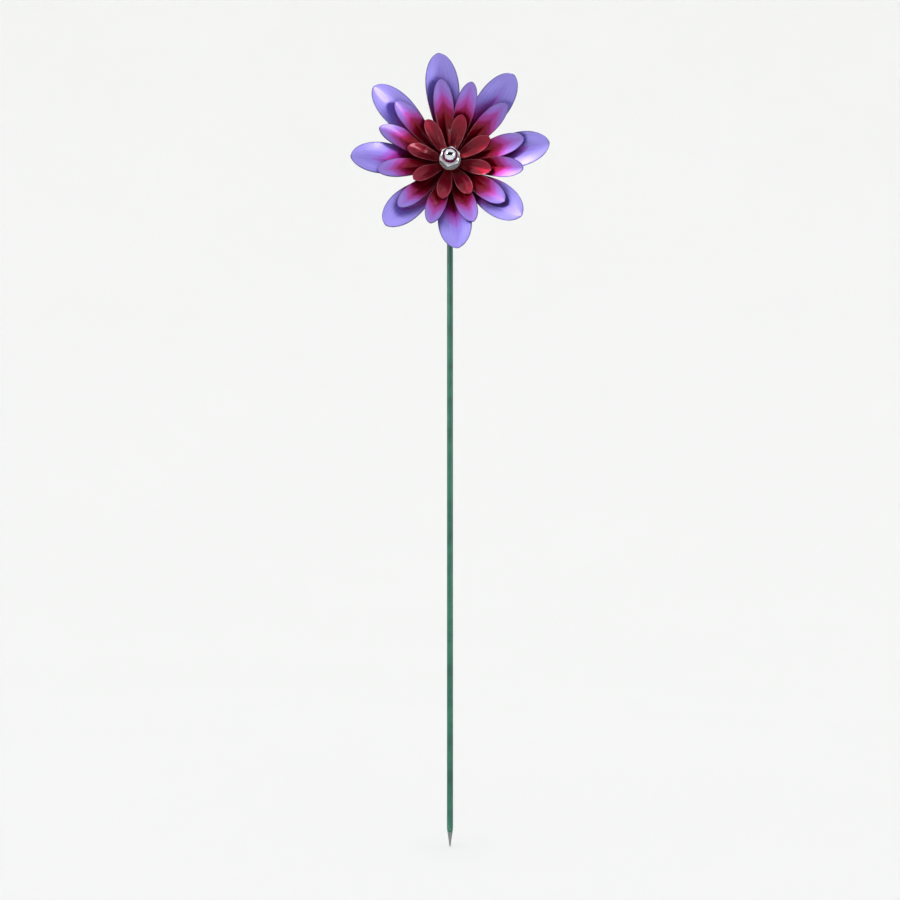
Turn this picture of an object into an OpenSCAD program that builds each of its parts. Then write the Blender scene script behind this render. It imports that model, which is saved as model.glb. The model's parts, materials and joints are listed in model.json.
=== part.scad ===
// Flower pinwheel on a garden stake.
// +Z runs up the stake, the flower faces -Y, and the origin is on the stake at the soil line.

/* [Overall] */
// Full height, from the stake's point to the top petal's tip
overall_h = 406.4; // [350:0.1:450]
// Length of stake below the soil line, point included
buried_h = 70; // [50:1:90]
// Diameter of the flower across its petal tips
flower_d = 101.6; // [98:0.1:106]

/* [Stake] */
// Diameter of the stake's rod
rod_d = 3.2; // [3.1:0.1:3.6]
// Diameter of the rod's necked end, inside the weld
rod_neck_d = 2.6; // [2.2:0.1:2.7]
// Length of the ground point
point_l = 9; // [6:0.5:14]
// Outer diameter of the head tube welded across the top of the rod
head_tube_d = 9; // [8:0.1:10]
// Length of the head tube, front to back
head_tube_l = 12; // [9:0.5:14]

/* [Axle] */
// Diameter of the axle screw
axle_d = 4.8; // [4.6:0.1:5]
// Diameter of the screw's pan head
screw_head_d = 9.4; // [8.6:0.1:10]
// Height of the screw's pan head
screw_head_h = 3.2; // [2.8:0.1:3.6]
// Width across the flats of both nuts
nut_flats = 9.5; // [9:0.1:10]
// Thickness of the lock nut
lock_nut_h = 3.2; // [2.8:0.1:4]
// Height of the cap nut's hexagon
cap_hex_h = 4.8; // [4:0.1:6]
// Height of the whole cap nut
cap_nut_h = 11; // [10:0.1:12]
// Diameter of the cap nut's dome
cap_dome_d = 8; // [7.6:0.1:8.6]
// Outer diameter of the washers
washer_d = 11; // [10.6:0.1:11.6]
// Thickness of the washers
washer_t = 1; // [0.8:0.1:1.2]

/* [Bush] */
// Outer diameter of the bush's sleeve
bush_d = 7.2; // [6.8:0.1:7.6]
// Diameter of the bush's flange
bush_flange_d = 12; // [11:0.1:13]
// Thickness of the bush's flange
bush_flange_t = 1.2; // [1:0.1:1.5]
// Outer diameter of the two spacers and the collar
spacer_d = 10; // [9.4:0.1:10.6]
// Length of the spacer between the rear and middle petals
rear_spacer_l = 4; // [4:0.1:5]
// Length of the spacer between the middle and front petals
front_spacer_l = 3; // [3:0.1:4]
// Length of the collar that closes the bush
collar_l = 1.2; // [1.2:0.1:2]
// Radial running clearance of the bush on the axle
bush_gap = 0.06; // [0.03:0.01:0.09]
// Axial play at each end of the bush
end_play = 0.15; // [0.1:0.05:0.3]

/* [Petals] */
// Thickness of the petal sheet
sheet_t = 0.6; // [0.5:0.1:0.7]
// Number of large petals, in the rear layer
rear_count = 8; // [6:1:9]
// Width of a large petal
rear_w = 16; // [14:0.5:17]
// Number of medium petals, in the middle layer
middle_count = 12; // [8:1:12]
// Diameter across the medium petals' tips
middle_d = 77.2; // [74:0.1:80]
// Width of a medium petal
middle_w = 10; // [8:0.5:10.5]
// Number of small petals, in the front layer
front_count = 8; // [6:1:9]
// Diameter across the small petals' tips
front_d = 45; // [42:0.5:48]
// Width of a small petal
front_w = 7.6; // [6:0.2:8]
// Angle at which the large and medium petals rise from the hub
petal_rise = 34; // [30:1:36]
// Angle at which the small petals rise from the hub
front_rise = 32; // [30:1:34]
// Pitch of each petal, which makes the flower turn in a breeze
petal_pitch = 10; // [6:1:11]
// Angle at which each half of a petal rises from its midrib, towards the front
petal_fold = 8; // [4:1:9]

/* [Hidden] */
$fn = 64;

// Height of the axle above the soil line
hub_z = overall_h - buried_h - flower_d / 2;

// Places along the axle, measured forward from the stake's axis
tube_front = head_tube_l / 2;
tube_back = -head_tube_l / 2;
spring_washer_t = 1.2;
spring_washer_d = 8.6;
spring_washer_back = tube_back - washer_t - spring_washer_t;
thrust_washer_at = tube_front + lock_nut_h;
rear_glide_at = thrust_washer_at + washer_t;
bush_at = rear_glide_at + washer_t + end_play;
rear_petals_at = bush_at + bush_flange_t;
rear_spacer_at = rear_petals_at + sheet_t;
middle_petals_at = rear_spacer_at + rear_spacer_l;
front_spacer_at = middle_petals_at + sheet_t;
front_petals_at = front_spacer_at + front_spacer_l;
collar_at = front_petals_at + sheet_t;
bush_end = collar_at + collar_l;
front_glide_at = bush_end + end_play;
cap_washer_at = front_glide_at + washer_t;
cap_nut_at = cap_washer_at + washer_t;
cap_bore_l = 8;
cap_nut_turn = 19;

// Each layer's turn about the axle, clockwise from straight up
rear_turn = -4.9;
middle_turn = 16.6;
front_turn = 15;

// Hub discs and necks of the three layers
rear_root_r = 8.4;
rear_neck = 5;
middle_root_r = 7.8;
middle_neck = 3.4;
front_root_r = 6.4;
front_neck = 3.8;
disc_lip = 0.6;
crease_lap = 0.4;
crease_share = 0.985;

point_r = 0.3;
thread_gap = 0.05;
press_gap = 0.02;
outline_steps = 14;

// Shape of a petal's outline: how far out its belly sits, how blunt its tip is,
// and the share of the neck that is still there at the belly
belly = 1.9;
bluntness = 0.62;
neck_share = 0.15;

// Weld bead: its height below the head tube, how far it stands out at its foot and its top,
// and how far it runs up the tube's side
weld_h = 2.6;
weld_toe = 0.2;
weld_flare = 1.5;
weld_bite = 0.8;
weld_z = hub_z - head_tube_d / 2 - weld_h;
neck_relief = 1.2;

// Puts a shape drawn along +Z from z = 0 on the axle, pointing forward, at a distance ahead of the stake's axis.
module on_axle(ahead) {
    translate([0, -ahead, hub_z]) rotate([90, 0, 0]) children();
}

module ring(outer_d, inner_r, length) {
    difference() {
        cylinder(d = outer_d, h = length);
        translate([0, 0, -1]) cylinder(r = inner_r, h = length + 2);
    }
}

// A hexagonal prism whose corners are chamfered at both ends.
module hexagon(length) {
    corner_r = nut_flats / sqrt(3);
    end_r = nut_flats / 2 - 0.2;
    outer_r = corner_r + 0.3;
    chamfer_h = (outer_r - end_r) * tan(30);
    intersection() {
        cylinder(r = corner_r, h = length, $fn = 6);
        rotate_extrude() polygon([
            [0, 0], [end_r, 0], [outer_r, chamfer_h],
            [outer_r, length - chamfer_h], [end_r, length], [0, length]
        ]);
    }
}

// ---- Stake ----

module stake_rod() {
    foot_z = -buried_h;
    shoulder_z = foot_z + point_l;
    neck_z = weld_z - neck_relief;
    color("seagreen") difference() {
        union() {
            translate([0, 0, foot_z]) cylinder(r1 = point_r, r2 = rod_d / 2, h = point_l);
            translate([0, 0, shoulder_z]) cylinder(d = rod_d, h = neck_z - shoulder_z);
            translate([0, 0, neck_z]) cylinder(d = rod_neck_d, h = hub_z - neck_z);
        }
        on_axle(-head_tube_l) cylinder(d = head_tube_d, h = 2 * head_tube_l);
    }
}

module head_tube() {
    color("seagreen") on_axle(tube_back) ring(head_tube_d, axle_d / 2 + thread_gap, head_tube_l);
}

// The bead of weld between the rod and the head tube.
module weld_fillet() {
    color("seagreen") difference() {
        translate([0, 0, weld_z])
            cylinder(r1 = rod_d / 2 + weld_toe, r2 = rod_d / 2 + weld_flare, h = weld_h + weld_bite);
        translate([0, 0, weld_z - 1]) cylinder(d = rod_neck_d, h = weld_h + head_tube_d);
        on_axle(-head_tube_l) cylinder(d = head_tube_d, h = 2 * head_tube_l);
    }
}

// ---- Axle and its hardware ----

module axle_screw() {
    head_at = spring_washer_back - screw_head_h;
    shank_l = cap_nut_at + cap_bore_l - spring_washer_back;
    crown_r = 7.5;
    slot_w = 1.1;
    slot_l = 5;
    slot_depth = 1.9;
    color("silver") on_axle(head_at) {
        difference() {
            intersection() {
                cylinder(d = screw_head_d, h = screw_head_h);
                translate([0, 0, crown_r]) sphere(r = crown_r);
            }
            for (turn = [0, 90]) {
                rotate([0, 0, turn]) translate([-slot_l / 2, -slot_w / 2, -1]) cube([slot_l, slot_w, slot_depth + 1]);
            }
        }
        translate([0, 0, screw_head_h]) cylinder(d = axle_d, h = shank_l);
    }
}

module washer(ahead) {
    on_axle(ahead) ring(washer_d, axle_d / 2 + thread_gap, washer_t);
}

module rear_washer() {
    color("silver") washer(tube_back - washer_t);
}

// A split ring, pulled flat, so only its slot shows.
module spring_washer() {
    slot = 0.8;
    slot_turn = 35;
    color("silver") on_axle(spring_washer_back) difference() {
        ring(spring_washer_d, axle_d / 2 + thread_gap, spring_washer_t);
        rotate([0, 0, slot_turn]) translate([0, -slot / 2, -1]) cube([spring_washer_d, slot, spring_washer_t + 2]);
    }
}

module lock_nut() {
    color("silver") on_axle(tube_front) difference() {
        hexagon(lock_nut_h);
        translate([0, 0, -1]) cylinder(d = axle_d + 2 * thread_gap, h = lock_nut_h + 2);
    }
}

module thrust_washer() {
    color("silver") washer(thrust_washer_at);
}

module rear_glide_washer() {
    color("white") washer(rear_glide_at);
}

module front_glide_washer() {
    color("white") washer(front_glide_at);
}

module cap_washer() {
    color("silver") washer(cap_washer_at);
}

module cap_nut() {
    dome_r = cap_dome_d / 2;
    color("gainsboro") on_axle(cap_nut_at) difference() {
        union() {
            rotate([0, 0, cap_nut_turn]) hexagon(cap_hex_h);
            cylinder(r = dome_r, h = cap_nut_h - dome_r);
            translate([0, 0, cap_nut_h - dome_r]) sphere(r = dome_r);
        }
        translate([0, 0, -1]) cylinder(d = axle_d + 2 * thread_gap, h = cap_bore_l + 1);
    }
}

// ---- Flower ----

// Half of a petal's width at a share t of its length, from its neck at 0 to its tip at 1.
function petal_half(t, width, neck) =
    neck / 2 * (1 - t) + (width / 2 - neck * neck_share) * pow(max(0, sin(180 * pow(t, belly))), bluntness);

// One half of a flat petal that points along +Y, from just across its midrib to its edge.
module petal_side(length, width, neck) {
    edge = [for (i = [0:outline_steps]) let(t = i / outline_steps) [petal_half(t, width, neck), t * length]];
    linear_extrude(sheet_t) polygon(concat(edge, [[-crease_lap, length * crease_share], [-crease_lap, 0]]));
}

// A petal folded along its midrib, so that it is hollow towards the front.
module petal(length, width, neck) {
    rotate([0, -petal_fold, 0]) petal_side(length, width, neck);
    mirror([1, 0, 0]) rotate([0, -petal_fold, 0]) petal_side(length, width, neck);
}

// A ring of petals cut from one sheet: a flat hub disc, and petals that rise and pitch out of it.
module petal_layer(count, tip_r, root_r, width, neck, rise, turn) {
    length = (tip_r - root_r) / cos(rise);
    difference() {
        union() {
            cylinder(r = root_r + disc_lip, h = sheet_t);
            for (k = [0:count - 1]) {
                rotate([0, 0, -turn - k * 360 / count]) translate([0, root_r, 0])
                    rotate([rise, 0, 0]) rotate([0, petal_pitch, 0]) petal(length, width, neck);
            }
        }
        translate([0, 0, -3]) cylinder(r = bush_d / 2 + press_gap, h = 6);
    }
}

module rear_petals() {
    color("mediumslateblue") on_axle(rear_petals_at)
        petal_layer(rear_count, flower_d / 2, rear_root_r, rear_w, rear_neck, petal_rise, rear_turn);
}

module middle_petals() {
    color("mediumorchid") on_axle(middle_petals_at)
        petal_layer(middle_count, middle_d / 2, middle_root_r, middle_w, middle_neck, petal_rise, middle_turn);
}

module front_petals() {
    color("darkred") on_axle(front_petals_at)
        petal_layer(front_count, front_d / 2, front_root_r, front_w, front_neck, front_rise, front_turn);
}

// The flanged sleeve that the petals are stacked on, and that turns on the axle.
module bush() {
    bore_r = axle_d / 2 + bush_gap;
    color("ivory") on_axle(bush_at) {
        ring(bush_flange_d, bore_r, bush_flange_t);
        translate([0, 0, bush_flange_t]) ring(bush_d, bore_r, bush_end - bush_at - bush_flange_t);
    }
}

module stack_ring(ahead, length) {
    on_axle(ahead) ring(spacer_d, bush_d / 2 + press_gap, length);
}

module rear_spacer() {
    color("darkred") stack_ring(rear_spacer_at, rear_spacer_l);
}

module front_spacer() {
    color("darkred") stack_ring(front_spacer_at, front_spacer_l);
}

module bush_collar() {
    color("silver") stack_ring(collar_at, collar_l);
}

stake_rod();
head_tube();
weld_fillet();
axle_screw();
rear_washer();
spring_washer();
lock_nut();
thrust_washer();
rear_glide_washer();
front_glide_washer();
cap_washer();
cap_nut();
bush();
rear_petals();
rear_spacer();
middle_petals();
front_spacer();
front_petals();
bush_collar();
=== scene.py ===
# %% [markdown]
# # A flower pinwheel on a garden stake
# The pinwheel is a stack of three pressed steel petal rings, lacquered violet and dark red, which turn on a screw
# at the head of a thin green stake. The CAD model gives every piece its place and size. This script makes the pieces
# that are seen: soft pressed petals, turned hardware with broken edges, a ripple of weld, and their finishes.
#
# The CAD frame is loaded first and never changed. Its box is kept, and the camera is framed on it.

# %% Load the frame
import json
import math

import bmesh
import bpy
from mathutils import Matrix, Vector

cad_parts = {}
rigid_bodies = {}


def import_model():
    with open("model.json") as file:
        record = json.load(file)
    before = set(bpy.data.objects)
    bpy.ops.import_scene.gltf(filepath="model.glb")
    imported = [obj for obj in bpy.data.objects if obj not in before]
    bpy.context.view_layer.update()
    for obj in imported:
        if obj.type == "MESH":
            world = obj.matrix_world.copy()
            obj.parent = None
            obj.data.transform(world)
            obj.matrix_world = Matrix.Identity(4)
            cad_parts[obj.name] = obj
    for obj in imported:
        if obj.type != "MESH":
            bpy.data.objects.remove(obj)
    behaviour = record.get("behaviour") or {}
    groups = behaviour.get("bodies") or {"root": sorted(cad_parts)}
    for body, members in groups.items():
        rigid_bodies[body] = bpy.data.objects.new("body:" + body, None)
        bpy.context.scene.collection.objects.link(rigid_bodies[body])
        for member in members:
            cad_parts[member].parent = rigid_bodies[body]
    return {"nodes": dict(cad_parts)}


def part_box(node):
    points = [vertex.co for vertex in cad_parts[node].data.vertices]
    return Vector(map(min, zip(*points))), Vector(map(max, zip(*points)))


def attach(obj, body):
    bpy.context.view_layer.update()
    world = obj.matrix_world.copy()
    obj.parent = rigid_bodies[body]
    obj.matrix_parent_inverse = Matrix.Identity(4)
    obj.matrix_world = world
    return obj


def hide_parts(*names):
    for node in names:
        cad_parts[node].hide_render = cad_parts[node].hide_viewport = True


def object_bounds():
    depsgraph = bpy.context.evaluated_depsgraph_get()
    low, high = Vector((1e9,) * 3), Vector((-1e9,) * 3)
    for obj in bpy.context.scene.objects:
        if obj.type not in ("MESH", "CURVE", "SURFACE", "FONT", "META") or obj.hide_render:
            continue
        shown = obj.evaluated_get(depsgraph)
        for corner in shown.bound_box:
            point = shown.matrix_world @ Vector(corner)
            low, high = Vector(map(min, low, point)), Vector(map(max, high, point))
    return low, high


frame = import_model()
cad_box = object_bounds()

# %% [markdown]
# ## Measures from the frame
# All lengths are metres, and a millimetre is a named value, so that sizes can be written as a maker says them.
# The axle runs along -Y, out of the flower's face. A place along it is given as a distance ahead of the stake.

# %% Measures
MM = 0.001
TUBE_LOW, TUBE_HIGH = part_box("head_tube")
HUB_Z = (TUBE_LOW.z + TUBE_HIGH.z) / 2


def reach(node):
    """How far ahead of the stake a node on the axle starts and ends."""
    low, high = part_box(node)
    return -high.y, -low.y


def radius_of(node):
    """Outer radius of a round node on the axle."""
    low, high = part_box(node)
    return (high.x - low.x) / 2


def tip_radius(node):
    """How far a petal ring reaches from the axle."""
    return max(math.hypot(point.co.x, point.co.z - HUB_Z) for point in frame["nodes"][node].data.vertices)


print("axle height in mm:", round(HUB_Z / MM, 1), "flower radius in mm:", round(tip_radius("rear_petals") / MM, 1))

# %% [markdown]
# ## Helpers for working as by hand
# An operator works on whatever is selected, so nothing is left to chance: everything is let go first, and then the
# points, edges or faces that are wanted are picked by their place or by the way they face.

# %% Selection helpers
def only(*pieces):
    """Selects these pieces and nothing else, and makes the first one active."""
    bpy.ops.object.select_all(action="DESELECT")
    for piece in pieces:
        piece.select_set(True)
    bpy.context.view_layer.objects.active = pieces[0]


def edit(piece):
    only(piece)
    bpy.ops.object.mode_set(mode="EDIT")


def done_editing():
    bpy.ops.object.mode_set(mode="OBJECT")


def pick(piece, wanted, kind="VERT"):
    """In edit mode, selects only the points, edges or faces for which wanted is true. Returns how many."""
    bpy.ops.mesh.select_mode(type=kind)
    bpy.ops.mesh.select_all(action="DESELECT")
    mesh = bmesh.from_edit_mesh(piece.data)
    parts = {"VERT": mesh.verts, "EDGE": mesh.edges, "FACE": mesh.faces}[kind]
    chosen = [part for part in parts if wanted(part)]
    for part in chosen:
        part.select_set(True)
    bmesh.update_edit_mesh(piece.data)
    return len(chosen)


def turn_selected(degrees, axis, centre):
    """Turns what is selected by the right-hand rule. With no window the operator turns the other way."""
    bpy.ops.transform.rotate(value=-math.radians(degrees), orient_axis=axis, center_override=centre)


# %% [markdown]
# Every piece ends in the same way: its modifiers are applied, its faces are made to point outwards, and it is shaded
# smooth across the soft angles only. The tally says whether the mesh is closed.

# %% Finishing helpers
def apply(piece, kind, **settings):
    """Adds one modifier and applies it at once."""
    only(piece)
    modifier = piece.modifiers.new(kind.title(), kind)
    for name, value in settings.items():
        setattr(modifier, name, value)
    bpy.ops.object.modifier_apply(modifier=modifier.name)


def face_outwards(piece):
    edit(piece)
    bpy.ops.mesh.select_all(action="SELECT")
    bpy.ops.mesh.normals_make_consistent(inside=False)
    done_editing()


def settle(piece):
    """Puts a piece's place and turn into its mesh, so that its object sits at the origin."""
    only(piece)
    bpy.ops.object.transform_apply(location=True, rotation=True, scale=True)


def tally(piece):
    mesh = bmesh.new()
    mesh.from_mesh(piece.data)
    open_edges = sum(not edge.is_manifold for edge in mesh.edges)
    volume = mesh.calc_volume() / MM**3
    mesh.free()
    triangles = sum(len(face.vertices) - 2 for face in piece.data.polygons)
    print(f"{piece.name}: {triangles} triangles, {open_edges} open edges, {volume:.1f} mm3")


def finish_piece(piece, material, body, smooth_angle=35):
    """Gives a made piece its shading, finish and body. It stands for the CAD node of its own name."""
    only(piece)
    bpy.ops.object.shade_smooth_by_angle(angle=math.radians(smooth_angle))
    piece.data.materials.clear()
    piece.data.materials.append(material)
    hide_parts(piece.name.removesuffix("_made"))
    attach(piece, body)
    tally(piece)


# %% [markdown]
# ## Helpers for finishes
# Colours are written as sRGB hex codes, as a paint maker gives them, and one function makes them linear for the
# shader. One more function adds a node: what it is given is set if it is a value, and linked if it is a socket.

# %% Colour and nodes
def colour(code):
    """An sRGB hex code as linear red, green, blue and alpha."""
    channels = [int(code[start:start + 2], 16) / 255 for start in (1, 3, 5)]
    linear = [c / 12.92 if c <= 0.04045 else ((c + 0.055) / 1.055) ** 2.4 for c in channels]
    return (*linear, 1.0)


def give(node, given):
    """Sets a node's own settings by name, and sets or links its inputs by name or number."""
    for name, value in given.items():
        if isinstance(name, str) and hasattr(node, name):
            setattr(node, name, value)
        elif isinstance(value, bpy.types.NodeSocket):
            node.id_data.links.new(value, node.inputs[name])
        else:
            node.inputs[name].default_value = value


def add(tree, kind, given=None, out=0, stops=(), blend="LINEAR"):
    """Adds a node and returns one of its outputs. Stops are a colour ramp's places and hex codes."""
    node = tree.nodes.new(kind)
    give(node, given or {})
    for number, (place, code) in enumerate(stops):
        band = node.color_ramp
        band.interpolation = blend
        stop = band.elements[number] if number < 2 else band.elements.new(place)
        stop.position = place
        stop.color = colour(code)
    return node.outputs[out]


def blank_material(name):
    """A new material. Returns it with its node tree and its surface shader."""
    material = bpy.data.materials.new(name)
    material.use_nodes = True
    tree = material.node_tree
    return material, tree, tree.nodes["Principled BSDF"]


print("violet in linear light:", [round(channel, 3) for channel in colour("#9280DC")])

# %% [markdown]
# No real surface is even. Paint, plating and plastic all drift a little in colour and gloss, in patches whose size
# depends on how they were made. So one helper gives a value that drifts over the piece, and every finish uses it. The
# noise behind it seldom leaves the middle of its range, so that part is stretched over low to high.

# %% Patches
NOISE_LOW, NOISE_HIGH = 0.3, 0.7


def patches(tree, size, low, high, detail=2, start=NOISE_LOW, end=NOISE_HIGH):
    """A value from low to high that drifts in patches about size metres across."""
    place = add(tree, "ShaderNodeTexCoord", out="Object")
    noise = add(tree, "ShaderNodeTexNoise", {"Vector": place, "Scale": 1 / size, "Detail": detail})
    return add(tree, "ShaderNodeMapRange", {"Value": noise, "From Min": start, "From Max": end, "To Min": low,
                                            "To Max": high})


def relief(tree, size, height, strength):
    """A bump of grains about size metres across."""
    grains = patches(tree, size, 0, 1, start=0, end=1)
    return add(tree, "ShaderNodeBump", {"Height": grains, "Distance": height, "Strength": strength})


# %% [markdown]
# ## Candy lacquer on pressed steel
# The petals are bright steel sprayed with a see-through coloured lacquer, dark red from the middle and violet from
# the tips, and then a clear coat. The eye gets deep colour that flares to pale pink and lavender where the metal
# turns to the light, and a soft sprayed border between the colours. Along the cut edge a rim colour is painted: pale
# pink near the hub, which is a painted highlight, and a darker line further out. So the shader is a metal tinted by a
# ramp on the distance from the axle, under a thin clear coat. The petal's own UV map says where on it a point is:
# across, 0 and 1 are its edges and 0.5 its midrib, and along, 1 is its tip.
#
# The spray reaches further along the midrib, in a tongue. The polishing marks in the steel run along each petal,
# about 0.2 mm apart, and are drawn coarser to show.

# %% Candy lacquer
def candy_lacquer(name, inner, outer, tongue, stops, edge, clear):
    """Lacquer that fades through the stops from the inner radius to the outer, with a tongue on the midrib."""
    material, tree, shader = blank_material(name)
    place = add(tree, "ShaderNodeTexCoord", out="Object")
    from_axle = add(tree, "ShaderNodeMapping", {"Vector": place, "Location": (0, 0, -HUB_Z), "Scale": (1, 0, 1)})
    radius = add(tree, "ShaderNodeVectorMath", {"operation": "LENGTH", 0: from_axle}, "Value")
    fade = add(tree, "ShaderNodeMapRange", {"Value": radius, "From Min": inner, "From Max": outer})

    petal_map = add(tree, "ShaderNodeTexCoord", out="UV")
    across = add(tree, "ShaderNodeSeparateXYZ", {"Vector": petal_map}, "X")
    along = add(tree, "ShaderNodeSeparateXYZ", {"Vector": petal_map}, "Y")
    off_rib = add(tree, "ShaderNodeMath", {"operation": "SUBTRACT", 0: across, 1: 0.5})
    off_rib = add(tree, "ShaderNodeMath", {"operation": "ABSOLUTE", 0: off_rib})
    off_rib = add(tree, "ShaderNodeMath", {"operation": "MULTIPLY", 0: off_rib, 1: 2})

    spread = add(tree, "ShaderNodeMath", {"operation": "MULTIPLY_ADD", 0: off_rib, 1: tongue, 2: 1})
    drift = patches(tree, 11 * MM, -0.11, 0.11, 3, 0, 1)
    shifted = add(tree, "ShaderNodeMath", {"operation": "MULTIPLY_ADD", 0: fade, 1: spread, 2: drift})
    tint = add(tree, "ShaderNodeValToRGB", {"Fac": shifted}, stops=stops, blend="EASE")

    lengthwise = add(tree, "ShaderNodeMapping", {"Vector": petal_map, "Scale": (46, 2.4, 1)})
    marks = add(tree, "ShaderNodeTexNoise", {"Vector": lengthwise, "Scale": 1, "Detail": 3})
    marks = add(tree, "ShaderNodeMapRange", {"Value": marks, "From Min": NOISE_LOW, "From Max": NOISE_HIGH})
    streaks = add(tree, "ShaderNodeMapRange", {"Value": marks, "To Min": 0.84, "To Max": 1.12})
    depth = add(tree, "ShaderNodeMath", {"operation": "MULTIPLY", 0: streaks, 1: patches(tree, 24 * MM, 0.88, 1.1)})
    streaked = add(tree, "ShaderNodeVectorMath", {"operation": "SCALE", 0: tint, "Scale": depth})
    gloss = add(tree, "ShaderNodeMapRange", {"Value": marks, "To Min": 0.34, "To Max": 0.46})

    # A band along the cut edge, at the sides and round the tip, takes a rim colour: pale pink near the hub, a painted
    # highlight, and the given edge colour further out.
    sides = add(tree, "ShaderNodeMapRange", {"Value": off_rib, "From Min": 0.86, "From Max": 0.97})
    tip = add(tree, "ShaderNodeMapRange", {"Value": along, "From Min": 0.965, "From Max": 0.995})
    rim = add(tree, "ShaderNodeMath", {"operation": "MAXIMUM", 0: sides, 1: tip})
    rim_band = add(tree, "ShaderNodeMath", {"operation": "MULTIPLY", 0: rim,
                                        1: patches(tree, 3 * MM, 0.55, 0.95, start=0.35, end=0.6)})
    rim_colour_and_highlight = add(tree, "ShaderNodeValToRGB", {"Fac": fade}, stops=[(0.28, "#B45C68"), (0.62, edge)])
    tinted = add(tree, "ShaderNodeMix", {"data_type": "RGBA", 0: rim_band, 6: streaked, 7: rim_colour_and_highlight}, 2)

    give(shader, {"Base Color": tinted, "Roughness": gloss, "Metallic": 0.85, "Specular IOR Level": 0.2,
                  "Coat Weight": clear, "Coat Roughness": 0.1, "Normal": relief(tree, 1.6 * MM, 0.03 * MM, 0.25)})
    return material


# %% [markdown]
# The three layers were sprayed with the same two lacquers, but each from its own distance. On the rear petals the
# violet starts half way out, on the middle ones two thirds out, and the front ones are all dark red.

# %% Three lacquers
violet_lacquer = candy_lacquer(
    "violet candy lacquer on bright steel", 8 * MM, 51 * MM, 0.55,
    [(0.0, "#660010"), (0.36, "#740018"), (0.46, "#8C0A50"), (0.57, "#AC32A4"), (0.68, "#9E5EC8"),
     (0.80, "#9280DC"), (1.0, "#9A8EE4")],
    "#5A5482", 0.3)
magenta_lacquer = candy_lacquer(
    "magenta candy lacquer on bright steel", 8 * MM, 39 * MM, 0.3,
    [(0.0, "#660010"), (0.50, "#760018"), (0.61, "#8A0A48"), (0.73, "#A43E98"), (0.86, "#9866C2"),
     (1.0, "#927ACE")],
    "#5A4A74", 0.3)
# The dark red lacquer's edge colour is pale pink, a painted highlight along its cut edges.
red_lacquer = candy_lacquer(
    "dark red candy lacquer on bright steel", 5 * MM, 23 * MM, 0.2,
    [(0.0, "#680010"), (0.45, "#700018"), (0.8, "#7C0020"), (1.0, "#8A0C32")],
    "#B8606C", 0.45)
print("lacquers:", violet_lacquer.name, "/", magenta_lacquer.name, "/", red_lacquer.name)

# %% [markdown]
# ## Powder coat on the stake
# The stake is steel wire with a satin green powder coat: the powder melts into a skin with the faint lumps that
# painters call orange peel, under a millimetre apart. It gives a broad soft highlight, never a sharp one. At the
# ground point the coat is rubbed by the soil, so steel shows through there in patches.

# %% Powder coat
def powder_coat(name, deep, light):
    """Blotchy powder coat, scuffed to bare steel in patches towards the ground point."""
    material, tree, shader = blank_material(name)
    blotches = patches(tree, 14 * MM, 0, 1, 3, 0.35, 0.65)
    coat = add(tree, "ShaderNodeValToRGB", {"Fac": blotches}, stops=[(0, deep), (1, light)])
    fine = patches(tree, 1.1 * MM, 0.9, 1.1)
    coat = add(tree, "ShaderNodeVectorMath", {"operation": "SCALE", 0: coat, "Scale": fine})

    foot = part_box("stake_rod")[0].z
    place = add(tree, "ShaderNodeTexCoord", out="Object")
    height = add(tree, "ShaderNodeSeparateXYZ", {"Vector": place}, "Z")
    buried = add(tree, "ShaderNodeMapRange", {"Value": height, "From Min": foot + MM, "From Max": foot + 16 * MM,
                                              "To Min": 0.75, "To Max": 0})
    rubbed = add(tree, "ShaderNodeMath", {"operation": "ADD", 0: buried, 1: patches(tree, 1.5 * MM, 0, 1, 4, 0, 1)})
    scuffs = add(tree, "ShaderNodeMath", {"operation": "GREATER_THAN", 0: rubbed, 1: 0.95})
    tint = add(tree, "ShaderNodeMix", {"data_type": "RGBA", 0: scuffs, 6: coat, 7: colour("#8C8F90")}, 2)

    give(shader, {"Base Color": tint, "Metallic": scuffs, "Roughness": patches(tree, 5 * MM, 0.34, 0.48),
                  "Normal": relief(tree, 0.8 * MM, 0.03 * MM, 0.5)})
    return material


green_coat = powder_coat("satin green powder coat on steel wire", "#1A5142", "#286A54")
print("stake:", green_coat.name)

# %% [markdown]
# ## Plated steel and nylon
# The screw, washers and lock nut are zinc plated: a bright grey metal with a soft bloom, its gloss uneven from the
# plating bath. The cap nut is polished chrome, which mirrors the room and is almost without texture of its own: only
# a slight haze from handling. The bush and glide washers are natural nylon, a milky, waxy plastic that lets a little
# light in.

# %% Zinc, chrome and nylon
def plated(name, dark, bright, roughest, smoothest, bloom, depth):
    """Plated metal whose colour and gloss vary in patches of the bloom's size."""
    material, tree, shader = blank_material(name)
    bath = patches(tree, bloom, 0, 1, 3, 0.35, 0.65)
    give(shader, {"Base Color": add(tree, "ShaderNodeValToRGB", {"Fac": bath}, stops=[(0, dark), (1, bright)]),
                  "Metallic": 1, "Roughness": patches(tree, bloom, roughest, smoothest, 3),
                  "Normal": relief(tree, 0.35 * MM, 0.01 * MM, depth)})
    return material


def moulded_nylon(name, dark, light):
    """Milky plastic with the fine texture of its mould."""
    material, tree, shader = blank_material(name)
    milk = patches(tree, 4 * MM, 0, 1, start=0.35, end=0.65)
    give(shader, {"Base Color": add(tree, "ShaderNodeValToRGB", {"Fac": milk}, stops=[(0, dark), (1, light)]),
                  "Roughness": patches(tree, 2 * MM, 0.38, 0.52), "IOR": 1.53, "Subsurface Weight": 0.15,
                  "Subsurface Scale": 0.8 * MM, "Normal": relief(tree, 0.5 * MM, 0.02 * MM, 0.2)})
    return material


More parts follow.
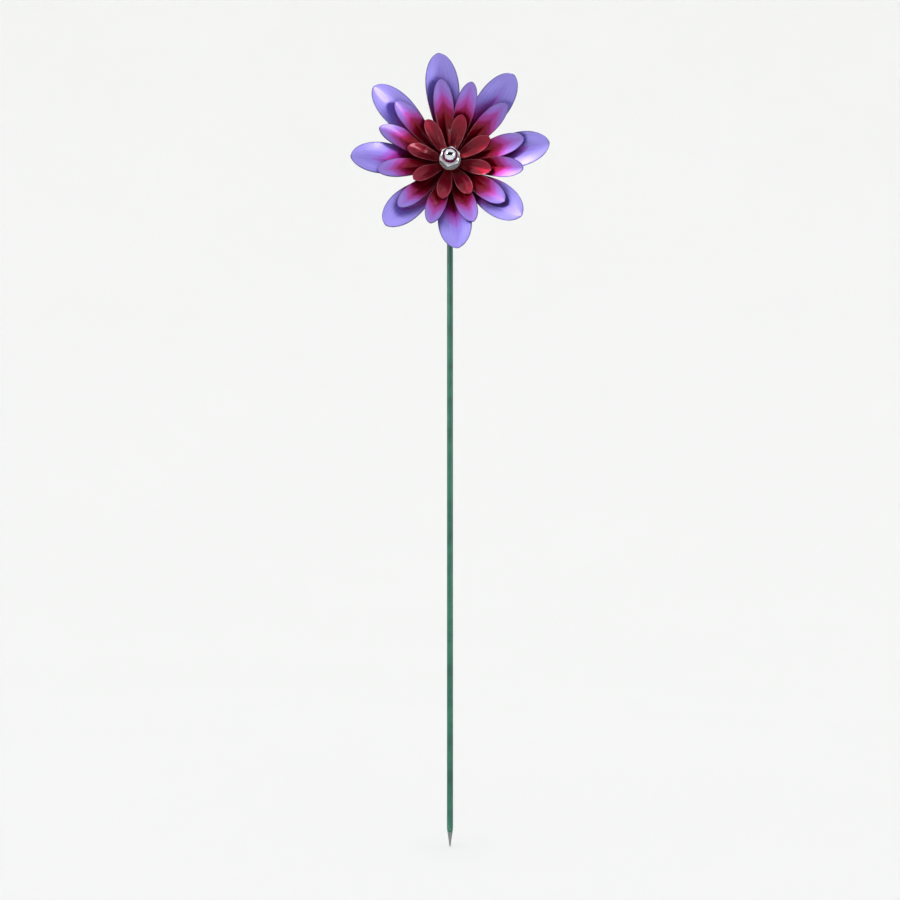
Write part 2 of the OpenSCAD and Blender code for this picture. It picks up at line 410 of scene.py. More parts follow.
zinc = plated("bright zinc plate on steel", "#A9ACB2", "#C6C9CE", 0.40, 0.26, 2.5 * MM, 0.5)
chrome = plated("polished chrome plate on brass", "#CDCFD3", "#E2E4E8", 0.10, 0.045, 5 * MM, 0.04)
nylon = moulded_nylon("natural nylon, injection moulded", "#D6D0BE", "#E6E1D2")
print("hardware:", zinc.name, "/", chrome.name, "/", nylon.name)

# %% [markdown]
# ## A lathe for the round pieces
# Washers, bushes, tubes and pins are turned on a lathe, or stamped as round. Each one's outline is a few points,
# (radius, height). A circle is added at the first point, and its ring is extruded and resized through the others.
# A hollow piece is closed by bridging the last ring to the first, and a solid one by filling both end rings.
# A small bevel then breaks the sharp edges, as a file or a tumbling drum does, and it catches the light.

# %% Lathe
def raise_rings(outline):
    """In edit mode, extrudes the selected ring through (radius, height) points. It is at the first one already."""
    for (radius, height), (next_radius, next_height) in zip(outline, outline[1:]):
        bpy.ops.mesh.extrude_edges_move(TRANSFORM_OT_translate={"value": (0, 0, next_height - height)})
        grow = next_radius / radius
        bpy.ops.transform.resize(value=(grow, grow, 1), center_override=(0, 0, next_height))


def lathe(name, outline, hollow, break_edge, sides=72):
    """Turns a piece about +Z through (radius, height) points, and breaks its sharp edges."""
    first_radius, first_height = outline[0]
    bpy.ops.object.select_all(action="DESELECT")
    bpy.ops.mesh.primitive_circle_add(vertices=sides, radius=first_radius, location=(0, 0, first_height))
    piece = bpy.context.object
    piece.name = name
    settle(piece)
    edit(piece)
    bpy.ops.mesh.select_all(action="SELECT")
    raise_rings(outline)
    pick(piece, lambda edge: edge.is_boundary, "EDGE")
    if hollow:
        bpy.ops.mesh.bridge_edge_loops()
    else:
        bpy.ops.mesh.fill_holes(sides=0)
    done_editing()
    face_outwards(piece)
    if break_edge:
        apply(piece, "BEVEL", width=break_edge, segments=3, limit_method="ANGLE", angle_limit=math.radians(30))
    return piece


def onto_axle(piece):
    """Lays a turned piece along the axle: its +Z becomes forward, and its heights distances ahead of the stake."""
    piece.rotation_euler = (math.radians(90), 0, 0)
    piece.location = (0, 0, HUB_Z)
    settle(piece)
    return piece


# %% [markdown]
# ## Washers, spacers and collar
# These are plain rings, so one function makes them all. Each takes its place and outer size from its CAD node. The
# hole is the axle's size with its clearance. A stamped washer has one crisp and one rounded edge; tumbling leaves
# both soft, so one bevel serves.

# %% Rings on the axle
SHANK_RADIUS = 2.4 * MM
HARDWARE_HOLE = 2.45 * MM
BUSH_RADIUS = 3.6 * MM
STACK_HOLE = 3.65 * MM


def plain_ring(node, hole, break_edge):
    """A flat ring with the place, length and outer radius of its CAD node."""
    start, end = reach(node)
    outer = radius_of(node)
    outline = [(hole, start), (outer, start), (outer, end), (hole, end)]
    return onto_axle(lathe(node + "_made", outline, True, break_edge))


for node in ("rear_washer", "thrust_washer", "cap_washer"):
    finish_piece(plain_ring(node, HARDWARE_HOLE, 0.16 * MM), zinc, "stake")
for node in ("rear_glide_washer", "front_glide_washer"):
    finish_piece(plain_ring(node, HARDWARE_HOLE, 0.12 * MM), nylon, "stake")
for node in ("rear_spacer", "front_spacer"):
    finish_piece(plain_ring(node, STACK_HOLE, 0.25 * MM), red_lacquer, "flower")
finish_piece(plain_ring("bush_collar", STACK_HOLE, 0.2 * MM), zinc, "flower")

# %% [markdown]
# ## The bush
# The bush is one moulded piece: a sleeve that the petals are threaded on and a flange that they rest against. Its
# outline goes round the flange first and then along the sleeve, so it is one closed ring.

# %% Bush
bush_start, bush_end = reach("bush")
flange_radius = radius_of("bush")
BUSH_HOLE = 2.46 * MM
FLANGE = 1.2 * MM
flange_front = bush_start + FLANGE
bush = onto_axle(lathe("bush_made", [
    (BUSH_HOLE, bush_start), (flange_radius, bush_start), (flange_radius, flange_front),
    (BUSH_RADIUS, flange_front), (BUSH_RADIUS, bush_end), (BUSH_HOLE, bush_end)], True, 0.12 * MM))
finish_piece(bush, nylon, "flower")

# %% [markdown]
# ## The head tube
# A short length of tube is welded across the top of the wire to carry the axle. A saw and a deburring wheel leave its
# ends square with a rounded edge, and the powder coat softens them more.

# %% Head tube
tube_start, tube_end = reach("head_tube")
tube_radius = radius_of("head_tube")
tube = onto_axle(lathe("head_tube_made", [
    (HARDWARE_HOLE, tube_start), (tube_radius, tube_start), (tube_radius, tube_end), (HARDWARE_HOLE, tube_end)],
    True, 0.45 * MM))
finish_piece(tube, green_coat, "stake")

# %% [markdown]
# ## The stake's rod
# The rod is drawn wire, straight and round, ground to a blunt point at the foot and necked at the head where the weld
# takes it. Its outline runs up the point, the wall and the neck.

# %% Stake rod
rod_low, rod_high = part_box("stake_rod")
rod_radius = (rod_high.x - rod_low.x) / 2
NECK_RADIUS = 1.3 * MM
POINT_RADIUS = 0.3 * MM
POINT_LENGTH = 9.6 * MM
weld_low, weld_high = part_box("weld_fillet")
neck_start = weld_low.z - 1.2 * MM
neck_end = HUB_Z - tube_radius - 0.02 * MM
rod = lathe("stake_rod_made", [
    (POINT_RADIUS, rod_low.z), (rod_radius * 0.93, rod_low.z + 8.3 * MM), (rod_radius, rod_low.z + POINT_LENGTH),
    (rod_radius, neck_start), (NECK_RADIUS, neck_start), (NECK_RADIUS, neck_end)], False, 0.1 * MM, sides=48)
finish_piece(rod, green_coat, "stake")

# %% [markdown]
# ## The weld bead
# The weld is a ring of metal that ran and froze between rod and tube: a flare with slow ripples round it, no two the
# same. It starts on the lathe, its points are pushed about a little by a seeded random move, it is rounded by
# subdivision, and the head tube's shape is cut out of its top so that it sits on the tube.

# %% Weld bead
bead_foot = neck_start - 0.3 * MM
bead_top = HUB_Z - tube_radius + 1.0 * MM
bead_radius = (weld_high.x - weld_low.x) / 2
bead = lathe("weld_fillet_made", [
    (NECK_RADIUS + 0.02 * MM, neck_start), (rod_radius + 0.15 * MM, bead_foot), (rod_radius + 0.45 * MM, weld_low.z),
    (rod_radius + 0.55 * MM, weld_low.z + 1.0 * MM), (bead_radius - 0.5 * MM, weld_low.z + 2.0 * MM),
    (bead_radius, bead_top - 0.4 * MM), (bead_radius - 0.1 * MM, bead_top), (NECK_RADIUS + 0.02 * MM, bead_top)],
    True, 0, sides=20)
edit(bead)
pick(bead, lambda point: math.hypot(point.co.x, point.co.y) > rod_radius + 0.1 * MM)
bpy.ops.transform.vertex_random(offset=0.22 * MM, uniform=0.3, normal=0.7, seed=4)
done_editing()
apply(bead, "SUBSURF", levels=2, render_levels=2)
tube_cutter = onto_axle(lathe("tube_cutter", [(tube_radius, tube_start - 5 * MM), (tube_radius, tube_end)], False, 0))
apply(bead, "BOOLEAN", operation="DIFFERENCE", object=tube_cutter, solver="EXACT")
bpy.data.objects.remove(tube_cutter)
finish_piece(bead, green_coat, "stake", 50)

# %% [markdown]
# ## The split spring washer
# A spring washer is a square wire wound into one turn and cut. A small square is spun round the axle through a little
# less than a full turn, which leaves the gap and flat, closed ends.

# %% Spring washer
spring_start, spring_end = reach("spring_washer")
spring_radius = radius_of("spring_washer")
spring_wide = spring_radius - HARDWARE_HOLE
GAP_DEGREES = 14
bpy.ops.object.select_all(action="DESELECT")
bpy.ops.mesh.primitive_plane_add(size=1, location=(HARDWARE_HOLE + spring_wide / 2, 0, (spring_start + spring_end) / 2),
                                 rotation=(math.radians(90), 0, 0))
spring = bpy.context.object
spring.name = "spring_washer_made"
spring.scale = (spring_wide, spring_end - spring_start, 1)
settle(spring)
edit(spring)
bpy.ops.mesh.select_all(action="SELECT")
bpy.ops.mesh.spin(steps=64, angle=math.radians(360 - GAP_DEGREES), center=(0, 0, 0), axis=(0, 0, 1))
done_editing()
spring.rotation_euler = (0, 0, math.radians(-35 + GAP_DEGREES / 2))
settle(spring)
face_outwards(spring)
apply(spring, "BEVEL", width=0.14 * MM, segments=2, limit_method="ANGLE", angle_limit=math.radians(40))
finish_piece(onto_axle(spring), zinc, "stake")

# %% [markdown]
# ## Nuts
# A nut is hexagon bar whose ends are faced on a lathe with a 30 degree chamfer, which leaves a curved line on each
# flat. The same two steps make it here: a six-sided prism, and a turned blank that a Boolean keeps the overlap of.

# %% Hexagon with turned chamfers
ACROSS_FLATS = 9.5 * MM
CHAMFER_DEGREES = 30


def hexagon_bar(name, start, end, turn, both_ends):
    """A hexagon along +Z, turned about it by an angle in degrees, with chamfered corners."""
    corner = ACROSS_FLATS / 2 / math.cos(math.radians(30))
    bpy.ops.object.select_all(action="DESELECT")
    bpy.ops.mesh.primitive_cylinder_add(vertices=6, radius=corner, depth=end - start,
                                        location=(0, 0, (start + end) / 2))
    piece = bpy.context.object
    piece.name = name
    # The cylinder's first corner is on +Y, and the hexagon's is wanted on +X before its turn.
    piece.rotation_euler = (0, 0, math.radians(turn - 30))
    settle(piece)
    apply(piece, "BEVEL", width=0.12 * MM, segments=2, limit_method="ANGLE", angle_limit=math.radians(45))

    blank_radius = corner + 0.3 * MM
    face_radius = ACROSS_FLATS / 2 - 0.2 * MM
    drop = (blank_radius - face_radius) * math.tan(math.radians(CHAMFER_DEGREES))
    rear = [(face_radius, start), (blank_radius, start + drop)] if both_ends else [(blank_radius, start)]
    blank = lathe(name + "_blank", rear + [(blank_radius, end - drop), (face_radius, end)], False, 0, sides=96)
    apply(piece, "BOOLEAN", operation="INTERSECT", object=blank, solver="EXACT")
    bpy.data.objects.remove(blank)
    return piece


def bore(piece, radius, start, end):
    """Cuts a round hole along +Z."""
    cutter = lathe("drill", [(radius, start), (radius, end)], False, 0)
    apply(piece, "BOOLEAN", operation="DIFFERENCE", object=cutter, solver="EXACT")
    bpy.data.objects.remove(cutter)


# %% [markdown]
# ## The lock nut
# The lock nut is thin, chamfered on both faces, and bored right through.

# %% Lock nut
nut_start, nut_end = reach("lock_nut")
lock_nut = hexagon_bar("lock_nut_made", nut_start, nut_end, 0, True)
bore(lock_nut, HARDWARE_HOLE, nut_start - MM, nut_end + MM)
finish_piece(onto_axle(lock_nut), zinc, "stake", 25)

# %% [markdown]
# ## The cap nut
# The cap nut closes the axle in the middle of the flower: a hexagon foot with a polished dome drawn up from it. The
# dome is turned in rings that follow a half circle, with a small fillet where it leaves the hexagon, and joined to
# the foot, because the real nut is one forging. The bore stops inside the dome.

# %% Cap nut
cap_start, cap_end = reach("cap_nut")
HEX_HEIGHT = 4.8 * MM
DOME_RADIUS = 4.0 * MM
HEX_TURN = 19
hex_end = cap_start + HEX_HEIGHT
dome_centre = cap_end - DOME_RADIUS
FILLET_STEPS, DOME_STEPS = 4, 24
fillet = 0.5 * MM
dome_outline = [(DOME_RADIUS + fillet, hex_end - 0.4 * MM)]
for step in range(FILLET_STEPS + 1):
    angle = math.radians(90 * step / FILLET_STEPS)
    dome_outline.append((DOME_RADIUS + fillet * (1 - math.sin(angle)), hex_end + fillet * (1 - math.cos(angle))))
for step in range(DOME_STEPS):
    angle = math.radians(90 * step / DOME_STEPS)
    dome_outline.append((DOME_RADIUS * math.cos(angle), dome_centre + DOME_RADIUS * math.sin(angle)))
dome_outline.append((DOME_RADIUS * 0.02, cap_end))
cap_nut = hexagon_bar("cap_nut_made", cap_start, hex_end, HEX_TURN, False)
dome = lathe("dome", dome_outline, False, 0, sides=96)
apply(cap_nut, "BOOLEAN", operation="UNION", object=dome, solver="EXACT")
bpy.data.objects.remove(dome)
BORE_DEPTH = 8 * MM
bore(cap_nut, HARDWARE_HOLE, cap_start - MM, cap_start + BORE_DEPTH)
finish_piece(onto_axle(cap_nut), chrome, "stake", 28)

# %% [markdown]
# ## The axle screw
# The screw comes in from the back. Its pan head has a flat face, a rounded shoulder and a cross recess for a driver,
# and its shank runs through everything to the cap nut. The head and shank are one outline on the lathe. The recess is
# cut by a cross whose arms narrow towards its floor, as the driver's do.

# %% Axle screw
screw_start, screw_end = reach("axle_screw")
HEAD_HEIGHT = 3.2 * MM
HEAD_WALL = 0.7 * MM
FACE_RADIUS = 2.9 * MM
SHOULDER_STEPS = 6
head_radius = radius_of("axle_screw")
under_head = screw_start + HEAD_HEIGHT
screw_outline = [(FACE_RADIUS, screw_start)]
for step in range(1, SHOULDER_STEPS + 1):
    angle = math.radians(90 * step / SHOULDER_STEPS)
    screw_outline.append((FACE_RADIUS + (head_radius - FACE_RADIUS) * math.sin(angle),
                          screw_start + (HEAD_HEIGHT - HEAD_WALL) * (1 - math.cos(angle))))
screw_outline += [(head_radius, under_head), (SHANK_RADIUS, under_head), (SHANK_RADIUS, screw_end - 0.6 * MM),
                  (SHANK_RADIUS - 0.5 * MM, screw_end)]
screw = lathe("axle_screw_made", screw_outline, False, 0.1 * MM)


def driver_cross(name, arm, wide, deep, at):
    """A cross whose arms taper from the head's face, at the height given, down to the recess's floor."""
    bpy.ops.object.select_all(action="DESELECT")
    bpy.ops.mesh.primitive_cube_add(size=1, location=(0, 0, at + deep / 2 - 0.5 * MM))
    cross = bpy.context.object
    cross.name = name
    cross.scale = (wide, wide, deep + MM)
    settle(cross)
    edit(cross)
    pick(cross, lambda face: abs(face.normal.z) < 0.5, "FACE")
    bpy.ops.mesh.extrude_faces_move(TRANSFORM_OT_shrink_fatten={"value": arm - wide / 2})
    pick(cross, lambda point: point.co.z > at)
    bpy.ops.transform.resize(value=(0.45, 0.45, 1), center_override=(0, 0, at + deep))
    done_editing()
    face_outwards(cross)
    return cross


cross = driver_cross("driver", 2.5 * MM, 1.1 * MM, 1.9 * MM, screw_start)
apply(screw, "BOOLEAN", operation="DIFFERENCE", object=cross, solver="EXACT")
bpy.data.objects.remove(cross)
finish_piece(onto_axle(screw), zinc, "stake", 30)

# %% [markdown]
# ## Petals
# Each layer is one sheet of steel, stamped into a ring of petals and pressed to shape. A petal rises out of the hub,
# is pinched along its midrib near the root, opens into a shallow dish, and is pitched like a propeller's blade so that
# the wind turns it. One petal per layer is shaped from a flat grid, whose own UV map runs across and along it. Rows
# are widened to the outline, bent, pitched and set along the rising path one after another. It is then copied round
# the hub.
#
# The outline is a little fuller than the CAD model's: a neck, a belly past the middle, and a round, blunt tip.

# %% Petal measures
BELLY = 1.9
BLUNTNESS = 0.48


class Layer:
    """The driving measures of one petal ring. Angles are in degrees, and the dish is a share of the half width."""

    def __init__(self, node, count, root, width, neck, rise, turn, dish):
        self.node = node
        self.count = count
        self.root = root
        self.width = width
        self.neck = neck
        self.rise = rise
        self.turn = turn
        self.dish = dish
        self.tip = tip_radius(node)


def half_width(layer, along):
    """Half the petal's width at a share of its length, 0 at the neck and 1 at the tip."""
    body = (layer.width / 2 - layer.neck * 0.15) * max(0.0, math.sin(math.pi * along**BELLY)) ** BLUNTNESS
    return layer.neck / 2 * (1 - along) + body


LAYERS = [
    Layer("rear_petals", 8, 8.4 * MM, 17.6 * MM, 5 * MM, 34, -4.9, 0.28),
    Layer("middle_petals", 12, 7.8 * MM, 10.4 * MM, 3.4 * MM, 34, 16.6, 0.26),
    Layer("front_petals", 8, 6.4 * MM, 7.6 * MM, 3.8 * MM, 32, 15, 0.36),
]
for layer in LAYERS:
    print(layer.node, "tip radius in mm:", round(layer.tip / MM, 2), "widest in mm:",
          round(max(2 * half_width(layer, share / 100) for share in range(101)) / MM, 2))

# %% [markdown]
# Seen from the side a petal is a shallow bow: it leaves the hub at a low angle, rises, and flattens again towards its
# tip. The path is stepped out row by row from the slopes, then scaled so that it ends at the CAD model's tip radius.
# Rows crowd together at the tip, where the outline turns fastest.

# %% Rows along a petal
ROWS = 14
CROWDING = 1.5
BOW = 5


def smooth_step(value):
    """0 below 0 and 1 above 1, with a soft change between."""
    value = min(1.0, max(0.0, value))
    return value * value * (3 - 2 * value)


def row_places(layer):
    """Each row's share of the length, radius, rise ahead and slope in degrees."""
    shares = [1 - (1 - row / ROWS) ** CROWDING for row in range(ROWS + 1)]
    slopes = [layer.rise * (0.55 + 0.45 * smooth_step(share / 0.12)) + BOW * (1 - 2 * share) for share in shares]
    out, ahead = [0.0], [0.0]
    for row in range(1, ROWS + 1):
        step = shares[row] - shares[row - 1]
        slope = math.radians((slopes[row] + slopes[row - 1]) / 2)
        out.append(out[-1] + step * math.cos(slope))
        ahead.append(ahead[-1] + step * math.sin(slope))
    length = (layer.tip - layer.root) / out[-1]
    return [(shares[row], layer.root + out[row] * length, ahead[row] * length, slopes[row])
            for row in range(ROWS + 1)]


for layer in LAYERS:
    print(layer.node, "tip ahead of its hub in mm:", round(row_places(layer)[-1][2] / MM, 1))

# %% [markdown]
# The press die is hollow across: each column of the grid is lifted by the square of its distance from the midrib, and
# the outermost ones a little less, so that the rim rolls over. The lift is a share of the half width, because each
# row is scaled as a whole. The dish fades out towards the tip, and the tip row keeps a little width, which
# subdivision rounds off.

# %% Shape one petal
COLUMNS = 8
PITCH = 10
RIM_COLUMN = 0.86
RIM_LIFT = 0.93
TIP_SHARE = 0.07


def row_points(row):
    """A grid's points are numbered row by row, so a row is picked by its numbers."""
    return range(row * (COLUMNS + 1), (row + 1) * (COLUMNS + 1))


def pressed_petal(layer):
    """One petal of a layer, pointing along +Y with its face towards +Z."""
    bpy.ops.object.select_all(action="DESELECT")
    bpy.ops.mesh.primitive_grid_add(x_subdivisions=COLUMNS, y_subdivisions=ROWS, size=1, calc_uvs=True)
    petal = bpy.context.object
    petal.name = layer.node + "_petal"
    edit(petal)
    for column in range(COLUMNS + 1):
        across = column / COLUMNS - 0.5
        share = abs(2 * across)
        pick(petal, lambda point: abs(point.co.x - across) < 0.01)
        # The last column but one moves out, which leaves a narrow band for the rim.
        moved = RIM_COLUMN if share == 0.75 else share
        lift = moved**2 if share < 1 else RIM_LIFT
        bpy.ops.transform.translate(value=(math.copysign(moved / 2, across) - across, 0, lift / 2))
    for row, (share, radius, ahead, slope) in enumerate(row_places(layer)):
        numbers = row_points(row)
        pick(petal, lambda point: point.index in numbers)
        middle = row / ROWS - 0.5
        wide = max(2 * half_width(layer, share), TIP_SHARE * layer.width)
        deep = wide * layer.dish * (1 - 0.55 * smooth_step((share - 0.55) / 0.4))
        bpy.ops.transform.resize(value=(wide, 1, deep), center_override=(0, middle, 0))
        turn_selected(PITCH * smooth_step(share / 0.3), "Y", (0, middle, 0))
        turn_selected(slope, "X", (0, middle, 0))
        bpy.ops.transform.translate(value=(0, radius - middle, ahead))
    done_editing()
    return petal


# %% [markdown]
# The midrib is pinched last. Its points are pushed down near the root, and its edges are given a crease that fades
# out, so that subdivision keeps a fold at the root and a smooth dish at the tip.

# %% Pinch the midrib
PINCH = 0.09


def crease_midrib(petal, layer):
    """Pushes the midrib down near the root, and creases its edges along two thirds of it."""
    edit(petal)
    for row, (share, radius, ahead, slope) in enumerate(row_places(layer)):
        fade = 1 - smooth_step((share - 0.25) / 0.55)
        if fade > 0:
            centre = row * (COLUMNS + 1) + COLUMNS // 2
            pick(petal, lambda point: point.index == centre)
            push = PINCH * half_width(layer, share) * fade * smooth_step(share / 0.06)
            angle = math.radians(slope)
            bpy.ops.transform.translate(value=(0, push * math.sin(angle), -push * math.cos(angle)))
    for row in range(ROWS):
        fade = 1 - smooth_step((row / ROWS - 0.2) / 0.6)
        ends = {row * (COLUMNS + 1) + COLUMNS // 2, (row + 1) * (COLUMNS + 1) + COLUMNS // 2}
        pick(petal, lambda edge: {edge.verts[0].index, edge.verts[1].index} == ends, "EDGE")
        bpy.ops.transform.edge_crease(value=0.8 * fade)
    done_editing()


# %% [markdown]
# The hub is a ring extruded from a circle that has as many points as all the petals' root edges together. It starts
# a step inside the petals' roots, so that the bridge between them makes the soft bend where a petal leaves the hub.

# %% Hub
SHEET = 0.6 * MM
HUB_STEP = 1.1 * MM


def hub_ring(layer):
    """The flat disc of a layer, from the bush's hole out to the foot of the petals."""
    bpy.ops.object.select_all(action="DESELECT")
    bpy.ops.mesh.primitive_circle_add(vertices=layer.count * COLUMNS, radius=layer.root - HUB_STEP)
    hub = bpy.context.object
    hub.name = layer.node + "_made"
    hub.data.uv_layers.new(name="UVMap")
    # The circle's first point is straight up, and a petal's arc is centred on its middle.
    hub.rotation_euler = (0, 0, -math.radians(layer.turn))
    settle(hub)
    edit(hub)
    bpy.ops.mesh.select_all(action="SELECT")
    raise_rings([(layer.root - HUB_STEP, 0), (STACK_HOLE, 0)])
    done_editing()
    return hub


# %% [markdown]
# Each petal's root is bridged to its own arc of the hub, so the layer is one sheet. Real petals are never quite
# alike, because handling bends them: each copy has its own tilt forward and swing round the hub, in degrees.

# %% Petals round the hub
HAND_BENDS = {
    "rear_petals": [(-2.0, -1.8), (-2.2, -1.1), (0.0, 0.0), (2.4, 3.0), (1.0, 0.3), (0.8, -0.1), (0.4, 1.4),
                    (-2.0, 0.6)],
    "middle_petals": [(0.5, 0.5), (-0.5, 2), (0, 2), (0.8, -4), (2.0, -4), (1.9, -5), (1.4, -1.5), (0.4, -4),
                      (1.2, -1), (0.5, 3), (0, -3.5), (-0.5, 6)],
    "front_petals": [(0.8, 1), (-0.5, 5), (0.6, 4), (0.9, 2), (-0.8, -5), (0.5, -3), (0.8, -4), (-0.6, -3)],
}


def place_petals(layer, petal, hub):
    """Copies the petal round the hub, joins all of it and bridges each root to its arc."""
    copies = []
    for number, (tilt, swing) in enumerate(HAND_BENDS[layer.node]):
        copy = petal.copy()
        copy.data = petal.data.copy()
        bpy.context.scene.collection.objects.link(copy)
        group = copy.vertex_groups.new(name=f"root {number}")
        group.add(list(row_points(0)), 1.0, "REPLACE")
        edit(copy)
        bpy.ops.mesh.select_all(action="SELECT")
        turn_selected(tilt, "X", (0, layer.root, 0))
        turn_selected(-layer.turn - number * 360 / layer.count - swing, "Z", (0, 0, 0))
        done_editing()
        copies.append(copy)
    only(hub, *copies)
    bpy.ops.object.join()
    edit(hub)
    for number in range(layer.count):
        bridge_root(layer, hub, number)
    done_editing()
    hub.vertex_groups.clear()


def bridge_root(layer, hub, number):
    """Bridges one petal's root to the arc of the hub that faces it."""
    arc = layer.root - HUB_STEP
    half = math.radians(180 / layer.count) + 0.001
    heading = math.radians(90 - layer.turn - number * 360 / layer.count)
    group = hub.vertex_groups[f"root {number}"].index
    weights = bmesh.from_edit_mesh(hub.data).verts.layers.deform.verify()

    def on_arc(point):
        away = math.atan2(point.co.y, point.co.x) - heading
        away = (away + math.pi) % (2 * math.pi) - math.pi
        return abs(math.hypot(point.co.x, point.co.y) - arc) < 0.01 * MM and abs(away) < half

    def at_root(point):
        return group in point[weights]

    pick(hub, lambda edge: all(on_arc(p) for p in edge.verts) or all(at_root(p) for p in edge.verts), "EDGE")
    bpy.ops.mesh.bridge_edge_loops()


for node, bends in HAND_BENDS.items():
    print(node, "petals:", len(bends), "largest bend in degrees:", max(abs(turn) for bend in bends for turn in bend))

# %% [markdown]
# The joined sheet is smoothed by subdivision while it is still thin, then given its thickness, and only then are its
# cut edges rounded. In that order the sheet keeps one thickness all over, which a swollen subdivided solid would not.
# Its hub then slides along the axle until it lies against the ring that clamps it from the front.

# %% Make the three layers
FINISHES = {
    "rear_petals": (violet_lacquer, "violet_petal", "rear_spacer"),
    "middle_petals": (magenta_lacquer, "magenta_petal", "front_spacer"),
    "front_petals": (red_lacquer, "red_petal", "bush_collar"),
}


def count_hub_as_midrib(hub, layer):
    """The hub has no place across a petal, so its UVs are set to the midrib's, where no rim colour is painted."""
    uvs = hub.data.uv_layers["UVMap"].data
    for face in hub.data.polygons:
        if math.hypot(face.center.x, face.center.y) < layer.root - 0.1 * MM:
            for corner in face.loop_indices:
                uvs[corner].uv = (0.5, 0.0)


for layer in LAYERS:
    petal = pressed_petal(layer)
    crease_midrib(petal, layer)
    ring = hub_ring(layer)
    place_petals(layer, petal, ring)
    bpy.data.objects.remove(petal)
    count_hub_as_midrib(ring, layer)
    face_outwards(ring)
    apply(ring, "SUBSURF", levels=2, render_levels=2)
    apply(ring, "SOLIDIFY", thickness=SHEET, offset=0)
    apply(ring, "BEVEL", width=0.16 * MM, segments=2, limit_method="ANGLE", angle_limit=math.radians(60))
    lacquer, slot, clamp = FINISHES[layer.node]
    edit(ring)
    bpy.ops.mesh.select_all(action="SELECT")
    bpy.ops.transform.translate(value=(0, 0, reach(clamp)[0] - SHEET / 2))
    done_editing()
    finish_piece(onto_axle(ring), lacquer, "flower", 40)

# %% [markdown]
# ## The studio
# The pinwheel stands on a pale round sweep: a flat floor that curves up into a wall all the way round, so that no
# horizon shows from any side. It is a circle extruded outwards ring by ring, as on the lathe, and painted matt.

# %% Floor
FLOOR_Z = rod_low.z
FLAT_RADIUS = 1.2
SWEEP_RADIUS = 2.4
WALL_TOP = 2.8
SWEEP_STEPS = 24


def pale_paint(name, shade, light):
    """Flat paint, rolled on, so it is a touch uneven over half a metre."""
    material, tree, shader = blank_material(name)
    uneven = patches(tree, 400 * MM, 0, 1)
    give(shader, {"Base Color": add(tree, "ShaderNodeValToRGB", {"Fac": uneven}, stops=[(0, shade), (1, light)]),
                  "Roughness": 0.9, "Specular IOR Level": 0.2})
    return material


sweep_outline = [(0.01, FLOOR_Z), (0.4, FLOOR_Z), (FLAT_RADIUS, FLOOR_Z)]
for step in range(1, SWEEP_STEPS + 1):
    angle = math.radians(90 * step / SWEEP_STEPS)
    sweep_outline.append((FLAT_RADIUS + SWEEP_RADIUS * math.sin(angle),
                          FLOOR_Z + SWEEP_RADIUS * (1 - math.cos(angle))))
sweep_outline.append((FLAT_RADIUS + SWEEP_RADIUS, FLOOR_Z + WALL_TOP))
bpy.ops.object.select_all(action="DESELECT")
bpy.ops.mesh.primitive_circle_add(vertices=96, radius=sweep_outline[0][0], fill_type="NGON",
                                  location=(0, 0, FLOOR_Z))
sweep = bpy.context.object
sweep.name = "pale_sweep"
settle(sweep)
edit(sweep)
pick(sweep, lambda edge: True, "EDGE")
raise_rings(sweep_outline)
bpy.ops.mesh.select_all(action="SELECT")
bpy.ops.mesh.normals_make_consistent(inside=True)
done_editing()
bpy.ops.object.shade_smooth_by_angle(angle=math.radians(60))
sweep.data.materials.append(pale_paint("matt pale paint", "#F4F4F2", "#F5F5F3"))
print("sweep across in m:", round(2 * sweep_outline[-1][0], 2))

# %% [markdown]
# A black card stands behind the camera. Polished metal needs something dark to mirror, or it looks like white paint.
# The card shows in reflections only, so it takes no light from the floor.

# %% Black card
card_material, card_tree, card_shader = blank_material("black flock card")
give(card_shader, {"Base Color": colour("#0A0A0C"), "Roughness": 1.0})
bpy.ops.object.select_all(action="DESELECT")
bpy.ops.mesh.primitive_plane_add(size=1, location=(0, -1.45, 0.62), rotation=(math.radians(90), 0, 0))
card = bpy.context.object
card.name = "black_card"
card.scale = (3.4, 1.36, 1)
settle(card)
card.data.materials.append(card_material)
card.visible_camera = card.visible_diffuse = card.visible_shadow = False
print("card in m:", [round(side, 2) for side in card.dimensions])

# %% [markdown]
# ## Lights
# A softbox high on the left in front is the key light, a weaker one on the right fills the shadows, and one overhead
# behind the flower lights the petals' rims. In a studio, flags keep the lamps off the backdrop. Here the lamps are
# linked to the pinwheel's pieces only. The open top of the sweep lets in an even pale sky, which lights all.

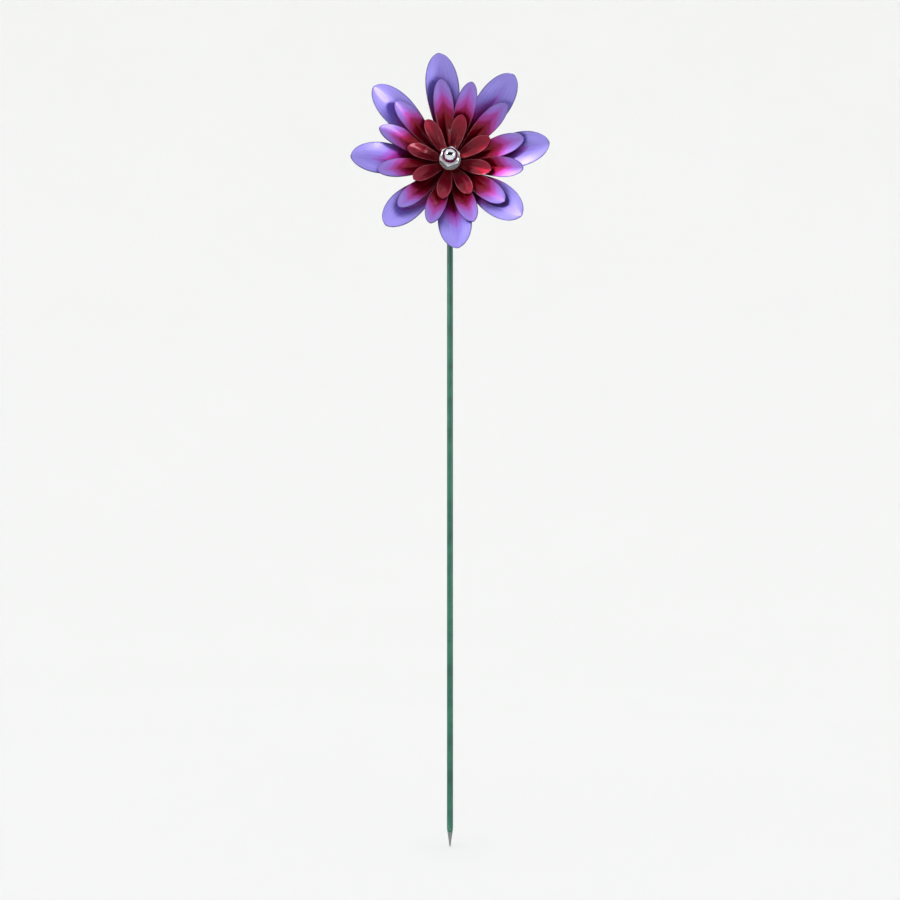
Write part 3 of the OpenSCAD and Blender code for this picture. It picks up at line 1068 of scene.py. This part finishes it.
# %% Lights
FLOWER_CENTRE = (0, -0.02, HUB_Z)
lit_pieces = bpy.data.collections.new("lit pieces")
for piece in bpy.context.scene.objects:
    if piece.name.endswith("_made"):
        lit_pieces.objects.link(piece)


def softbox(name, place, wide, power):
    """A square area light that faces the flower."""
    light = bpy.data.lights.new(name, "AREA")
    light.shape = "SQUARE"
    light.size = wide
    light.energy = power
    box = bpy.data.objects.new(name, light)
    bpy.context.scene.collection.objects.link(box)
    box.location = place
    box.rotation_euler = (Vector(FLOWER_CENTRE) - Vector(place)).to_track_quat("-Z", "Y").to_euler()
    box.visible_camera = False
    box.light_linking.receiver_collection = lit_pieces
    print(name, "watts:", power)


softbox("key softbox", (-0.9, -0.9, 0.95), 0.3, 11)
softbox("fill softbox", (1.0, -0.85, 0.3), 0.3, 3.5)
softbox("top softbox", (0.2, 0.5, 1.3), 0.6, 5)

world = bpy.data.worlds.new("pale studio")
bpy.context.scene.world = world
world.use_nodes = True
give(world.node_tree.nodes["Background"], {"Color": colour("#F4F5F7"), "Strength": 1.22})
bpy.context.scene.view_settings.view_transform = "Standard"

# %% [markdown]
# ## Camera
# The camera stands lower than the flower, as a person looks at a plant pick across a table, and a long lens keeps
# the stake straight. It is pitched half way between the ground point and the top petal, and its view is a little
# wider than both, so that the whole pinwheel is seen with some air round it.

# %% Camera
CAMERA_PLACE = (0, -0.862, HUB_Z - 0.214)
AIR = 1.13
TIPS_AHEAD = 0.04
model_low, model_high = cad_box
lowest = math.atan2(rod_low.z - CAMERA_PLACE[2], -CAMERA_PLACE[1])
highest = math.atan2(model_high[2] - CAMERA_PLACE[2], -CAMERA_PLACE[1] - TIPS_AHEAD)
camera_data = bpy.data.cameras.new("camera")
camera = bpy.data.objects.new("camera", camera_data)
bpy.context.scene.collection.objects.link(camera)
camera.location = CAMERA_PLACE
camera.rotation_euler = (math.radians(90) + (lowest + highest) / 2, 0, 0)
camera_data.lens_unit = "FOV"
camera_data.angle = (highest - lowest) * AIR
camera_data.clip_start = 0.01
bpy.context.scene.camera = camera
print("camera pitch in degrees:", round(math.degrees((lowest + highest) / 2), 2), "lens in mm:",
      round(camera_data.lens, 1))
